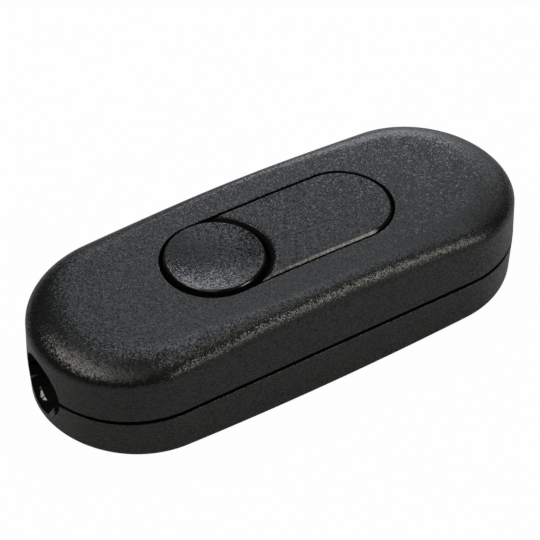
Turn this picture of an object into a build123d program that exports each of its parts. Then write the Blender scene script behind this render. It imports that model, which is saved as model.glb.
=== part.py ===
"""Inline cord dimmer: crowned two-part housing, dished push button, flush plate and the works inside.

Millimetres. +X runs along the housing towards the plate's end, +Z is up, the origin is below the middle.
"""
import os
from math import cos, radians, sin, sqrt

from build123d import *

# Housing
LENGTH = 90.0
WIDTH = 34.8
PARTING_Z = 9.4
TOP_Z = 21.1
CROWN_R = 470.0
TOP_EDGE_R = 3.5
END_EDGE_W = 7.0
BOTTOM_EDGE_R = 0.8
UPPER_DRAFT = 2.5
LOWER_DRAFT = 1.5
WALL = 2.2
MOULD_EDGE_R = 0.2
INNER_EDGE_R = 0.8

# How far a cutting body reaches past what it cuts
OVER = 1.0

# Seam: an outer shadow gap, and a lip of the lower shell that stands in a rebate of the upper one
SEAM_GAP = 0.55
LIP_INSET = 1.1
LIP_T = 1.0
LIP_RISE = 1.8
SEAM_CLEARANCE = 0.1

# Cord inlets
MOUTH_R = 5.4
BORE_R = 3.6
MOUTH_DEPTH = 1.5
FUNNEL_DEPTH = 4.0
BORE_LENGTH = 4.0
INLET_WALL = 1.4

# Opening in the top: a round hole for the button, and a long pocket for the plate that starts beside it
BUTTON_X = -12.1
SLOT_R = 9.0
HOLE_STEP = 0.15
SLOT_END_X = 12.4
RECESS_DEPTH = 2.5
RECESS_FLOOR_T = 1.2
RECESS_RIM = 1.6

# Plate
PLATE_GAP = 0.42
PLATE_PROUD = 0.15
PLATE_EDGE_R = 0.25
PLATE_TIP_W = 1.39
PLATE_BITE_STEP = 0.3
SCOOP_STEP = 1.25
SCOOP_SHIFT = 2.3
SCOOP_DEPTH = 0.45
PEG_XS = (4.0, 15.0)
PEG_R = 1.2
PEG_BELOW = 0.8
PEG_CLEARANCE = 0.05

# Button
BUTTON_GAP = 0.75
RIM_PROUD = 0.45
RIM_W = 0.35
RIM_EDGE_R = 0.25
DISH_DEPTH = 1.0
TRAVEL = 0.8
STOP_CLEARANCE = 0.15
GUIDE_INSET = 1.4
GUIDE_CLEARANCE = 0.2
SKIRT_T = 1.1
SKIRT_BELOW = 0.4
LEG_W = 5.0
BARB = 0.7
BARB_H = 0.9
BARB_CLEARANCE = 0.05
SHOULDER_R = 3.1
SHOULDER_DROP = 4.35
STEM_R = 1.5

# Circuit board and the posts that hold it
BOARD_X = 47.2
BOARD_Y = 26.6
BOARD_T = 1.6
BOARD_Z = 5.0
POST_INSET_X = 4.6
POST_INSET_Y = 1.5
POST_R = 1.6
PILLAR_R = 1.4

# Key switch
SWITCH_SIDE = 6.2
SWITCH_H = 3.2
SWITCH_COVER_T = 0.35
WELL_R = 2.7
WELL_DEPTH = 2.0
PLUNGER_R = 1.75
PLUNGER_FLANGE_R = 2.4
PLUNGER_FLANGE_T = 0.7
PLUNGER_CLEARANCE = 0.15
PLUNGER_PLAY = 0.05
PLUNGER_ABOVE = 1.6

# Return spring
SPRING_R = 2.5
SPRING_WIRE_R = 0.22
SPRING_TURNS = 4

# Screws that join the shells
SCREW_Y = 11.4
SCREW_R = 1.2
SCREW_HEAD_R = 2.3
SCREW_HEAD_H = 1.6
SCREW_SEAT_Z = 4.2
SCREW_TIP_BELOW = 5.1
SCREW_TIP_ROOM = 0.5
SCREW_WAY = 0.2
SCREW_BITE = 0.02
COLUMN_R = 3.4
COLUMN_CLEARANCE = 0.5
BOSS_R = 2.9
CROSS_W = 0.6
CROSS_DEPTH = 0.9

# Cord clamps: CLAMP_RATIO is the part of the way from the board's end to the inlet's boss
CLAMP_RATIO = 0.64
CLAMP_CORD_CLEARANCE = 0.1
CLAMP_POST_R = 2.4
CLAMP_RISE = 2.2
CLAMP_W = 5.0
CLAMP_END = 2.0
CLAMP_T = 2.0
CLAMP_RIDGE_R = 1.2
CLAMP_SCREW_TIP_Z = 5.6
SADDLE_T = 2.0
SADDLE_W = 7.0

# Terminal blocks
BLOCK_X = 7.6
BLOCK_Y = 10.2
BLOCK_HEADROOM = 2.3
BLOCK_EDGE = 0.2
POLE_PITCH = 5.0
CAGE = 3.6
CAGE_H = 5.2
CAGE_CLEARANCE = 0.05
CAGE_WINDOW = 2.6
CAGE_SILL = 0.9
TERMINAL_SCREW_R = 1.2
TERMINAL_HEAD_R = 1.6
TERMINAL_HEAD_H = 1.2
TERMINAL_SCREW_L = 1.5

# Electronics: place and size on the board
TRANSISTOR_PLACES = ((-1.8, -1.6), (9.4, -1.8))
TRANSISTOR_BODY = (6.0, 6.5, 2.3)
TAB_T = 0.5
TAB_OUT = 1.2
TAB_W = 5.2
LEAD_PITCH = 2.3
LEAD_W = 0.8
LEAD_T = 0.5
LEAD_OUT = 2.6
LEAD_IN = 1.0
CHIP_PLACE = (-1.0, 5.1)
CHIP_BODY = (3.9, 4.9, 1.5)
CHIP_LEAD_PITCH = 1.27
CHIP_LEAD_W = 0.4
CHIP_LEAD_T = 0.25
CHIP_LEAD_OUT = 1.0
CHOKE_PLACE = (9.0, 7.6)
CHOKE_R = 4.5
CHOKE_CORE_R = 2.0
CHOKE_WIRE_R = 4.0
CHOKE_FLANGE_T = 1.2
CHOKE_HEADROOM = 2.2
FILM_PLACE = (5.0, -9.4)
FILM_X = 13.0
FILM_Y = 6.0
FILM_HEADROOM = 1.4
FILM_EDGE = 0.4
STORAGE_PLACE = (-4.7, -9.5)
STORAGE_R = 2.5
STORAGE_H = 7.0
VARISTOR_PLACE = (-1.0, 10.2)
VARISTOR_R = 3.6
VARISTOR_T = 3.2
FUSE_PLACE = (-12.4, -9.8)
FUSE_TUBE_R = 1.5
FUSE_LENGTH = 8.4
FUSE_CAP_R = 1.75
FUSE_CAP_L = 1.8
FUSE_CAP_T = 1.0
DIODE_XS = (-15.4, -12.3, -9.2, -6.1)
DIODE_Y = 9.2
DIODE_BODY = (2.4, 4.2, 2.1)
DIODE_TAB_W = 1.4
DIODE_TAB_T = 0.25
DIODE_TAB_OUT = 0.5

# Worked-out places
LIP_TOP_Z = PARTING_Z + LIP_RISE
INLET_DEPTH = MOUTH_DEPTH + FUNNEL_DEPTH + BORE_LENGTH
RECESS_Z = TOP_Z - RECESS_DEPTH
FLOOR_UNDER_Z = RECESS_Z - RECESS_FLOOR_T
RIM_Z = TOP_Z + RIM_PROUD
HOLE_R = SLOT_R - HOLE_STEP
BUTTON_R = HOLE_R - BUTTON_GAP
GUIDE_R = BUTTON_R - GUIDE_INSET
PLATE_BITE_R = HOLE_R - PLATE_BITE_STEP
SCOOP_R = PLATE_BITE_R - SCOOP_STEP
TIP_Y = SLOT_R - PLATE_GAP - PLATE_TIP_W
SLOT_START_X = BUTTON_X + sqrt(PLATE_BITE_R**2 - TIP_Y**2) - PLATE_GAP
CAP_UNDER_Z = RECESS_Z + TRAVEL + STOP_CLEARANCE
SHOULDER_Z = CAP_UNDER_Z - SHOULDER_DROP
BOARD_TOP_Z = BOARD_Z + BOARD_T
POST_X = BOARD_X / 2 - POST_INSET_X
POST_Y = BOARD_Y / 2 - POST_INSET_Y
HEADROOM = FLOOR_UNDER_Z - BOARD_TOP_Z
SWITCH_TOP_Z = BOARD_TOP_Z + SWITCH_H
SPRING_SEAT_Z = SWITCH_TOP_Z + SWITCH_COVER_T
PLUNGER_TOP_Z = SPRING_SEAT_Z + PLUNGER_ABOVE
SCREW_X = BOARD_X / 2 + COLUMN_R + COLUMN_CLEARANCE
SCREW_TIP_Z = TOP_Z - SCREW_TIP_BELOW
CLAMP_X = BOARD_X / 2 + CLAMP_RATIO * (LENGTH / 2 - INLET_DEPTH - BOARD_X / 2)
CLAMP_SCREW_Y = BORE_R + CLAMP_POST_R + CLAMP_CORD_CLEARANCE
CLAMP_LENGTH = 2 * (CLAMP_SCREW_Y + CLAMP_END)
CLAMP_SEAT_Z = PARTING_Z + CLAMP_RISE
BLOCK_Z = HEADROOM - BLOCK_HEADROOM
BLOCK_PLACE_X = BOARD_X / 2 - BLOCK_X / 2 - BLOCK_EDGE
CHOKE_H = HEADROOM - CHOKE_HEADROOM
FILM_BODY = (FILM_X, FILM_Y, HEADROOM - FILM_HEADROOM)
FUSE_INSIDE = FUSE_LENGTH - 2 * FUSE_CAP_T
CORNERS = tuple((sx, sy) for sx in (-1, 1) for sy in (-1, 1))
ENDS = (-1, 1)


def rod(x, y, r, z0, z1):
    """Upright cylinder between two heights."""
    return Pos(x, y, (z0 + z1) / 2) * Cylinder(r, z1 - z0)


def block(x, y, z0, size):
    """Box that stands on z0."""
    return Pos(x, y, z0 + size[2] / 2) * Box(*size)


def group(solids):
    """Separate solids that share one node."""
    return Compound(children=list(solids))


def stadium(inset):
    """Outline of the housing at the seam, moved in from the outside."""
    return SlotCenterToCenter(LENGTH - WIDTH, WIDTH - 2 * inset)


def stadium_bar(inset, z0, z1):
    """The outline as an upright bar."""
    return extrude(Pos(0, 0, z0) * stadium(inset), z1 - z0)


def upper_form(inset):
    """Space above the seam, inset from the outside: drafted walls, crowned top, rounded top edge.

    The edge is rounded while the form is squeezed along X, so that the round comes out wider over the ends.
    """
    walls = extrude(Pos(0, 0, PARTING_Z) * stadium(inset), TOP_Z + OVER - PARTING_Z, taper=UPPER_DRAFT)
    squeeze = TOP_EDGE_R / END_EDGE_W
    form = scale(walls & crown_ball(inset), by=(squeeze, 1, 1))
    top = form.faces().sort_by(Axis.Z)[-1]
    form = fillet(top.edges(), max(TOP_EDGE_R - inset, INNER_EDGE_R))
    return scale(form, by=(1 / squeeze, 1, 1))


def lower_form(inset):
    """Space below the seam, inset from the outside: drafted walls, underside crowned along the length."""
    down = Plane((0, 0, PARTING_Z), x_dir=(1, 0, 0), z_dir=(0, 0, -1))
    walls = extrude(down * stadium(inset), PARTING_Z + OVER, taper=LOWER_DRAFT)
    roll_plane = Plane((0, 0, CROWN_R), x_dir=(0, 0, 1), z_dir=(0, 1, 0))
    form = walls & roll_plane * Cylinder(CROWN_R - inset, 2 * WIDTH)
    bottom = form.faces().sort_by(Axis.Z)[0]
    return fillet(bottom.edges(), BOTTOM_EDGE_R)


def inlet_axis_body(side, profile):
    """Body of revolution about the inlet axis, from (depth below the end, radius) corners."""
    end = side * LENGTH / 2
    corners = [(end - side * depth, PARTING_Z + r) for depth, r in profile]
    outline = Plane.XZ * make_face(Polyline(*corners, close=True))
    return revolve(outline, Axis((0, 0, PARTING_Z), (1, 0, 0)))


def inlet_void(side):
    """Funnel mouth and straight bore of one cord inlet."""
    deep = MOUTH_DEPTH + FUNNEL_DEPTH
    end = INLET_DEPTH + OVER
    rise = MOUTH_R - BORE_R
    bell_r = (FUNNEL_DEPTH**2 + rise**2) / (2 * rise)
    bell = [
        (deep - bell_r * sin(radians(a)), BORE_R + bell_r * (1 - cos(radians(a))))
        for a in (12, 24, 36)
    ]
    corners = [(end, 0), (end, BORE_R), (deep, BORE_R), *bell]
    corners += [(MOUTH_DEPTH, MOUTH_R), (-OVER, MOUTH_R), (-OVER, 0)]
    return inlet_axis_body(side, corners)


def inlet_boss(side):
    """Thick wall round one cord inlet."""
    r = MOUTH_R + INLET_WALL
    corners = [(INLET_DEPTH, 0), (INLET_DEPTH, r), (-OVER, r), (-OVER, 0)]
    return inlet_axis_body(side, corners)


def inlet_gate(side):
    """Room that the lip leaves for one inlet's boss."""
    half = MOUTH_R + INLET_WALL + 3 * SEAM_CLEARANCE
    size = (LENGTH / 3, 2 * half, LIP_RISE + 4 * OVER)
    return block(side * LENGTH / 2, 0, PARTING_Z - 2 * OVER, size)


def pocket(inset, z0, z1):
    """Bar with the outline of the plate's pocket: square at the button's end, round at the other."""
    half = SLOT_R - inset
    start = SLOT_START_X + inset
    bar = block((start + SLOT_END_X) / 2, 0, z0, (SLOT_END_X - start, 2 * half, z1 - z0))
    return bar + rod(SLOT_END_X, 0, half, z0, z1)


def opening(inset, z0, z1):
    """Bar with the outline of the button's hole and the plate's pocket together."""
    return pocket(inset, z0, z1) + rod(BUTTON_X, 0, HOLE_R - inset, z0, z1)


def crown_ball(inset):
    """Ball whose top is the crowned top of the housing, moved in from the outside."""
    plane = Plane((0, 0, TOP_Z - CROWN_R), x_dir=(0, 0, -1), z_dir=(0, 1, 0))
    return plane * Sphere(CROWN_R - inset)


def cross_recess(x, y, top_z):
    """Cross drive cut into a head whose top is at top_z."""
    long = 1.3 * SCREW_HEAD_R
    cut = block(x, y, top_z - CROSS_DEPTH, (long, CROSS_W, 2 * CROSS_DEPTH))
    return cut + block(x, y, top_z - CROSS_DEPTH, (CROSS_W, long, 2 * CROSS_DEPTH))


def make_upper_shell():
    shell = upper_form(0) - upper_form(WALL)
    shell -= stadium_bar(LIP_INSET - SEAM_CLEARANCE, PARTING_Z - OVER, LIP_TOP_Z)
    core = upper_form(LIP_INSET)
    pad = opening(-RECESS_RIM, FLOOR_UNDER_Z, TOP_Z) & core
    shell += pad
    for side in ENDS:
        shell += inlet_boss(side) & core
    for sx, sy in CORNERS:
        boss = rod(sx * SCREW_X, sy * SCREW_Y, BOSS_R, PARTING_Z, TOP_Z)
        pillar = rod(sx * POST_X, sy * POST_Y, PILLAR_R, BOARD_TOP_Z, TOP_Z)
        shell += boss & core
        shell += pillar & (core + stadium_bar(WALL, BOARD_Z, PARTING_Z))
    gap = stadium_bar(-OVER, PARTING_Z - OVER, PARTING_Z + SEAM_GAP / 2)
    shell -= gap - stadium_bar(LIP_INSET, PARTING_Z - 2 * OVER, LIP_TOP_Z)
    for side in ENDS:
        shell -= inlet_void(side)
    for sx, sy in CORNERS:
        pilot_r = SCREW_R + SCREW_BITE
        pilot_end = SCREW_TIP_Z + SCREW_TIP_ROOM
        shell -= rod(sx * SCREW_X, sy * SCREW_Y, pilot_r, PARTING_Z - OVER, pilot_end)
    shell -= opening(0, RECESS_Z, TOP_Z + OVER)
    shell -= rod(BUTTON_X, 0, GUIDE_R, FLOOR_UNDER_Z - OVER, TOP_Z)
    for x in PEG_XS:
        shell -= rod(x, 0, PEG_R + PEG_CLEARANCE, FLOOR_UNDER_Z - OVER, TOP_Z)
    pierced = [f for f in shell.faces() if f.inner_wires()]
    top = max(pierced, key=lambda f: f.center().Z)
    return fillet(top.inner_wires()[0].edges(), MOULD_EDGE_R)


def make_lower_shell():
    shell = lower_form(0) - lower_form(WALL)
    core = lower_form(LIP_INSET)
    for side in ENDS:
        shell += inlet_boss(side) & core
    for sx, sy in CORNERS:
        shell += rod(sx * SCREW_X, sy * SCREW_Y, COLUMN_R, 0, PARTING_Z) & core
        shell += rod(sx * POST_X, sy * POST_Y, POST_R, 0, BOARD_Z) & core
    for side in ENDS:
        saddle_top = PARTING_Z - BORE_R
        shell += block(side * CLAMP_X, 0, 0, (SADDLE_T, SADDLE_W, saddle_top)) & core
    gap = stadium_bar(-OVER, PARTING_Z - SEAM_GAP / 2, PARTING_Z + OVER)
    shell -= gap - stadium_bar(LIP_INSET, PARTING_Z - 2 * OVER, LIP_TOP_Z)
    lip = stadium_bar(LIP_INSET, PARTING_Z - OVER, LIP_TOP_Z)
    lip -= stadium_bar(LIP_INSET + LIP_T, PARTING_Z - 2 * OVER, LIP_TOP_Z + OVER)
    for side in ENDS:
        lip -= inlet_gate(side)
    shell += lip
    for side in ENDS:
        for sy in ENDS:
            y = sy * CLAMP_SCREW_Y
            shell += rod(side * CLAMP_X, y, CLAMP_POST_R, WALL, CLAMP_SEAT_Z)
            pilot_r = SCREW_R + SCREW_BITE
            pilot_end = CLAMP_SCREW_TIP_Z - SCREW_TIP_ROOM
            shell -= rod(side * CLAMP_X, y, pilot_r, pilot_end, CLAMP_SEAT_Z + OVER)
        shell -= inlet_void(side)
    for sx, sy in CORNERS:
        x, y = sx * SCREW_X, sy * SCREW_Y
        shell -= rod(x, y, SCREW_R + SCREW_WAY, SCREW_SEAT_Z - OVER, PARTING_Z + OVER)
        shell -= rod(x, y, SCREW_HEAD_R + SCREW_WAY, -OVER, SCREW_SEAT_Z)
    return shell


def make_push_button():
    cap = rod(BUTTON_X, 0, BUTTON_R, CAP_UNDER_Z, RIM_Z)
    dish_edge = BUTTON_R - RIM_W
    dish_r = (dish_edge**2 + DISH_DEPTH**2) / (2 * DISH_DEPTH)
    ball_plane = Plane((BUTTON_X, 0, RIM_Z - DISH_DEPTH + dish_r), x_dir=(0, 0, 1), z_dir=(0, 1, 0))
    cap -= ball_plane * Sphere(dish_r)
    outer = cap.edges().filter_by(GeomType.CIRCLE).sort_by(SortBy.RADIUS)[-2:]
    cap = fillet(outer.sort_by(Axis.Z)[-1], RIM_EDGE_R)
    skirt_r = GUIDE_R - GUIDE_CLEARANCE
    skirt_end = FLOOR_UNDER_Z - SKIRT_BELOW
    skirt = rod(BUTTON_X, 0, skirt_r, skirt_end, CAP_UNDER_Z)
    skirt -= rod(BUTTON_X, 0, skirt_r - SKIRT_T, skirt_end - OVER, CAP_UNDER_Z)
    barb_top = FLOOR_UNDER_Z - BARB_CLEARANCE
    ring = rod(BUTTON_X, 0, GUIDE_R + BARB, barb_top - BARB_H, barb_top)
    ring -= rod(BUTTON_X, 0, skirt_r - SKIRT_T, barb_top - BARB_H - OVER, barb_top + OVER)
    barbs = ring & block(BUTTON_X, 0, barb_top - BARB_H, (LEG_W, 4 * GUIDE_R, BARB_H))
    shoulder = rod(BUTTON_X, 0, SHOULDER_R, SHOULDER_Z, CAP_UNDER_Z)
    stem = rod(BUTTON_X, 0, STEM_R, PLUNGER_TOP_Z, SHOULDER_Z)
    return cap + skirt + barbs + shoulder + stem


def make_cover_plate():
    plate = pocket(PLATE_GAP, RECESS_Z, TOP_Z + OVER)
    plate -= rod(BUTTON_X, 0, PLATE_BITE_R, RECESS_Z - OVER, TOP_Z + 2 * OVER)
    plate &= crown_ball(-PLATE_PROUD)
    edge_z = TOP_Z + PLATE_PROUD - SCOOP_DEPTH
    plate -= rod(BUTTON_X + SCOOP_SHIFT, 0, SCOOP_R, edge_z, TOP_Z + 2 * OVER)
    top = plate.faces().sort_by(Axis.Z)[-1]
    plate = fillet(top.edges(), PLATE_EDGE_R)
    for x in PEG_XS:
        plate += rod(x, 0, PEG_R, FLOOR_UNDER_Z - PEG_BELOW, RECESS_Z)
    return plate


def make_return_spring():
    height = SHOULDER_Z - SPRING_SEAT_Z - 2 * SPRING_WIRE_R
    coil = Helix(height / SPRING_TURNS, height, SPRING_R)
    wire = sweep(Plane(coil @ 0, z_dir=coil % 0) * Circle(SPRING_WIRE_R), coil, is_frenet=True)
    return Pos(BUTTON_X, 0, SPRING_SEAT_Z + SPRING_WIRE_R) * wire


def make_circuit_board():
    return block(0, 0, BOARD_Z, (BOARD_X, BOARD_Y, BOARD_T))


def make_switch_base():
    base = block(BUTTON_X, 0, BOARD_TOP_Z, (SWITCH_SIDE, SWITCH_SIDE, SWITCH_H))
    return base - rod(BUTTON_X, 0, WELL_R, SWITCH_TOP_Z - WELL_DEPTH, SWITCH_TOP_Z + OVER)


def make_switch_cover():
    cover = block(BUTTON_X, 0, SWITCH_TOP_Z, (SWITCH_SIDE, SWITCH_SIDE, SWITCH_COVER_T))
    hole_r = PLUNGER_R + PLUNGER_CLEARANCE
    return cover - rod(BUTTON_X, 0, hole_r, SWITCH_TOP_Z - OVER, SPRING_SEAT_Z + OVER)


def make_switch_plunger():
    flange_z = SWITCH_TOP_Z - PLUNGER_FLANGE_T - PLUNGER_PLAY
    flange = rod(BUTTON_X, 0, PLUNGER_FLANGE_R, flange_z, flange_z + PLUNGER_FLANGE_T)
    return flange + rod(BUTTON_X, 0, PLUNGER_R, flange_z, PLUNGER_TOP_Z)


def make_switch_pins():
    pins = []
    for sx, sy in CORNERS:
        y = sy * (SWITCH_SIDE / 2 + LEAD_W / 2)
        pins.append(block(BUTTON_X + sx * LEAD_PITCH, y, BOARD_TOP_Z, (LEAD_W, LEAD_W, CHIP_LEAD_T)))
    return group(pins)


def make_control_chip():
    return block(*CHIP_PLACE, BOARD_TOP_Z + CHIP_LEAD_T, CHIP_BODY)


def make_chip_leads():
    leads = []
    for side in ENDS:
        x = CHIP_PLACE[0] + side * CHIP_BODY[0] / 2
        for k in range(4):
            y = CHIP_PLACE[1] + (k - 1.5) * CHIP_LEAD_PITCH
            size = (2 * CHIP_LEAD_OUT, CHIP_LEAD_W, CHIP_LEAD_T)
            leads.append(block(x, y, BOARD_TOP_Z, size))
    return group(leads)


def make_power_transistors():
    z = BOARD_TOP_Z + TAB_T
    return group(block(x, y, z, TRANSISTOR_BODY) for x, y in TRANSISTOR_PLACES)


def make_transistor_tabs():
    length = TRANSISTOR_BODY[0] / 2 + TAB_OUT
    size = (length, TAB_W, TAB_T)
    return group(block(x - length / 2, y, BOARD_TOP_Z, size) for x, y in TRANSISTOR_PLACES)


def make_transistor_leads():
    leads = []
    for x, y in TRANSISTOR_PLACES:
        for sy in ENDS:
            foot_x = x + TRANSISTOR_BODY[0] / 2 + LEAD_OUT / 2 - LEAD_IN
            size = (LEAD_OUT, LEAD_W, LEAD_T)
            leads.append(block(foot_x, y + sy * LEAD_PITCH, BOARD_TOP_Z, size))
    return group(leads)


def make_choke_core():
    z0 = BOARD_TOP_Z
    core = rod(*CHOKE_PLACE, CHOKE_CORE_R, z0, z0 + CHOKE_H)
    core += rod(*CHOKE_PLACE, CHOKE_R, z0, z0 + CHOKE_FLANGE_T)
    return core + rod(*CHOKE_PLACE, CHOKE_R, z0 + CHOKE_H - CHOKE_FLANGE_T, z0 + CHOKE_H)


def make_choke_winding():
    z0 = BOARD_TOP_Z + CHOKE_FLANGE_T
    z1 = BOARD_TOP_Z + CHOKE_H - CHOKE_FLANGE_T
    core = rod(*CHOKE_PLACE, CHOKE_CORE_R, z0 - OVER, z1 + OVER)
    return rod(*CHOKE_PLACE, CHOKE_WIRE_R, z0, z1) - core


def make_film_capacitor():
    body = block(*FILM_PLACE, BOARD_TOP_Z, FILM_BODY)
    return chamfer(body.edges().filter_by(Axis.Z), FILM_EDGE)


def make_storage_capacitor():
    return rod(*STORAGE_PLACE, STORAGE_R, BOARD_TOP_Z, BOARD_TOP_Z + STORAGE_H)


def make_varistor():
    x, y = VARISTOR_PLACE
    return Pos(x, y, BOARD_TOP_Z + VARISTOR_R) * Rot(90, 0, 0) * Cylinder(VARISTOR_R, VARISTOR_T)


def fuse_rod(x, r, length):
    """Cylinder along X on the fuse's axis."""
    return Pos(x, FUSE_PLACE[1], BOARD_TOP_Z + FUSE_CAP_R) * Rot(0, 90, 0) * Cylinder(r, length)


def make_fuse_tube():
    return fuse_rod(FUSE_PLACE[0], FUSE_TUBE_R, FUSE_INSIDE)


def make_fuse_caps():
    inside = fuse_rod(FUSE_PLACE[0], FUSE_TUBE_R, FUSE_INSIDE)
    reach = (FUSE_LENGTH - FUSE_CAP_L) / 2
    return group(fuse_rod(FUSE_PLACE[0] + s * reach, FUSE_CAP_R, FUSE_CAP_L) - inside for s in ENDS)


def make_rectifier_diodes():
    z = BOARD_TOP_Z + DIODE_TAB_T
    return group(block(x, DIODE_Y, z, DIODE_BODY) for x in DIODE_XS)


def make_diode_leads():
    tabs = []
    for x in DIODE_XS:
        for sy in ENDS:
            y = DIODE_Y + sy * DIODE_BODY[1] / 2
            tabs.append(block(x, y, BOARD_TOP_Z, (DIODE_TAB_W, 2 * DIODE_TAB_OUT, DIODE_TAB_T)))
    return group(tabs)


def pole_ys():
    return [sy * POLE_PITCH / 2 for sy in ENDS]


def make_terminal_block(side):
    x = side * BLOCK_PLACE_X
    body = block(x, 0, BOARD_TOP_Z, (BLOCK_X, BLOCK_Y, BLOCK_Z))
    entry_z = BOARD_TOP_Z + CAGE_SILL
    for y in pole_ys():
        room = CAGE + 2 * CAGE_CLEARANCE
        body -= block(x, y, BOARD_TOP_Z - OVER, (room, room, CAGE_H + OVER + CAGE_CLEARANCE))
        body -= block(x + side * BLOCK_X / 2, y, entry_z, (BLOCK_X, CAGE_WINDOW, CAGE_WINDOW))
        hole_z = BOARD_TOP_Z + CAGE_H - OVER
        body -= rod(x, y, TERMINAL_HEAD_R + SCREW_WAY, hole_z, BOARD_TOP_Z + BLOCK_Z + OVER)
    return body


def make_terminal_cages():
    cages = []
    for side in ENDS:
        for y in pole_ys():
            x = side * BLOCK_PLACE_X
            cage = block(x, y, BOARD_TOP_Z, (CAGE, CAGE, CAGE_H))
            cage -= block(x, y, BOARD_TOP_Z + CAGE_SILL, (2 * CAGE, CAGE_WINDOW, CAGE_WINDOW))
            hole_z = BOARD_TOP_Z + CAGE_SILL + CAGE_WINDOW / 2
            cage -= rod(x, y, TERMINAL_SCREW_R + SCREW_BITE, hole_z, BOARD_TOP_Z + CAGE_H + OVER)
            cages.append(cage)
    return group(cages)


def make_terminal_screws():
    screws = []
    seat = BOARD_TOP_Z + CAGE_H
    slot_size = (CROSS_W, 4 * TERMINAL_HEAD_R, TERMINAL_HEAD_H)
    for side in ENDS:
        for y in pole_ys():
            x = side * BLOCK_PLACE_X
            screw = rod(x, y, TERMINAL_HEAD_R, seat, seat + TERMINAL_HEAD_H)
            screw += rod(x, y, TERMINAL_SCREW_R, seat - TERMINAL_SCREW_L, seat)
            screw -= block(x, y, seat + TERMINAL_HEAD_H / 2, slot_size)
            screws.append(screw)
    return group(screws)


def make_cord_clamp(side):
    x = side * CLAMP_X
    bar = block(x, 0, CLAMP_SEAT_Z, (CLAMP_W, CLAMP_LENGTH, CLAMP_T))
    ridge = Pos(x, 0, CLAMP_SEAT_Z) * Rot(90, 0, 0) * Cylinder(CLAMP_RIDGE_R, SADDLE_W)
    bar += ridge
    for sy in ENDS:
        y = sy * CLAMP_SCREW_Y
        low = CLAMP_SEAT_Z - CLAMP_RIDGE_R - OVER
        bar -= rod(x, y, SCREW_R + SCREW_WAY, low, CLAMP_SEAT_Z + CLAMP_T + OVER)
    return bar


def make_clamp_screws():
    screws = []
    seat = CLAMP_SEAT_Z + CLAMP_T
    for side in ENDS:
        for sy in ENDS:
            x, y = side * CLAMP_X, sy * CLAMP_SCREW_Y
            screw = rod(x, y, SCREW_HEAD_R, seat, seat + SCREW_HEAD_H)
            screw += rod(x, y, SCREW_R, CLAMP_SCREW_TIP_Z, seat)
            screws.append(screw - cross_recess(x, y, seat + SCREW_HEAD_H))
    return group(screws)


def make_housing_screws():
    screws = []
    low = SCREW_SEAT_Z - SCREW_HEAD_H
    for sx, sy in CORNERS:
        x, y = sx * SCREW_X, sy * SCREW_Y
        screw = rod(x, y, SCREW_HEAD_R, low, SCREW_SEAT_Z)
        screw += rod(x, y, SCREW_R, SCREW_SEAT_Z, SCREW_TIP_Z)
        screws.append(screw - cross_recess(x, y, low))
    return group(screws)


PARTS = {
    "upper_shell": make_upper_shell,
    "lower_shell": make_lower_shell,
    "push_button": make_push_button,
    "cover_plate": make_cover_plate,
    "return_spring": make_return_spring,
    "circuit_board": make_circuit_board,
    "switch_base": make_switch_base,
    "switch_cover": make_switch_cover,
    "switch_plunger": make_switch_plunger,
    "switch_pins": make_switch_pins,
    "control_chip": make_control_chip,
    "chip_leads": make_chip_leads,
    "power_transistors": make_power_transistors,
    "transistor_tabs": make_transistor_tabs,
    "transistor_leads": make_transistor_leads,
    "choke_core": make_choke_core,
    "choke_winding": make_choke_winding,
    "film_capacitor": make_film_capacitor,
    "storage_capacitor": make_storage_capacitor,
    "varistor": make_varistor,
    "fuse_tube": make_fuse_tube,
    "fuse_caps": make_fuse_caps,
    "rectifier_diodes": make_rectifier_diodes,
    "diode_leads": make_diode_leads,
    "supply_terminal": lambda: make_terminal_block(-1),
    "lamp_terminal": lambda: make_terminal_block(1),
    "terminal_cages": make_terminal_cages,
    "terminal_screws": make_terminal_screws,
    "supply_cord_clamp": lambda: make_cord_clamp(-1),
    "lamp_cord_clamp": lambda: make_cord_clamp(1),
    "clamp_screws": make_clamp_screws,
    "housing_screws": make_housing_screws,
}

os.makedirs("parts", exist_ok=True)
for name, make in PARTS.items():
    export_step(make(), f"parts/{name}.step")
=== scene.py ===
"""Inline cord dimmer: finished housing, button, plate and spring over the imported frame, in a small studio."""
from math import asin, atan2, cos, pi, radians, sin, sqrt, tan

import bpy
from mathutils import Matrix, Vector
from mathutils.geometry import delaunay_2d_cdt


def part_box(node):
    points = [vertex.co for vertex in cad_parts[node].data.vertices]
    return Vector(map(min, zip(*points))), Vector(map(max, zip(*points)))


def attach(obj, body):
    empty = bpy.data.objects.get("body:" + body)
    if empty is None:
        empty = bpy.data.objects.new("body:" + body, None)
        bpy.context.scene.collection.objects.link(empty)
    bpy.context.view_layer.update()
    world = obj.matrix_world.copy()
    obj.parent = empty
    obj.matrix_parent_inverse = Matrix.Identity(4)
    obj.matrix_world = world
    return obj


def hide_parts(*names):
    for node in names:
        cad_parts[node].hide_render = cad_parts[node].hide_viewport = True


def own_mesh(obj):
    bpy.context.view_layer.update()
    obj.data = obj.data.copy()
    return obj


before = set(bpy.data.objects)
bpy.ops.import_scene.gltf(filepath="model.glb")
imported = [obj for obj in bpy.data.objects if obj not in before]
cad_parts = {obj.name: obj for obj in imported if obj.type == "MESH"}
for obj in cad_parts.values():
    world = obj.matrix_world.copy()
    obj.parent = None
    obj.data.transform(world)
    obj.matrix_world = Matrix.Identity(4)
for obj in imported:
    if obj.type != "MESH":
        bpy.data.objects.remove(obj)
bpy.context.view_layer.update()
scene = bpy.context.scene

# Sizes in millimetres
MM = 0.001
LENGTH, WIDTH = 90.0, 34.8
END_R = WIDTH / 2
END_X = LENGTH / 2 - END_R
# Height of the parting line and the top, and the crowns of the top and the underside
PARTING_Z, TOP_Z, CROWN_R, BASE_CROWN_R = 9.4, 21.1, 600.0, 470.0
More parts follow.
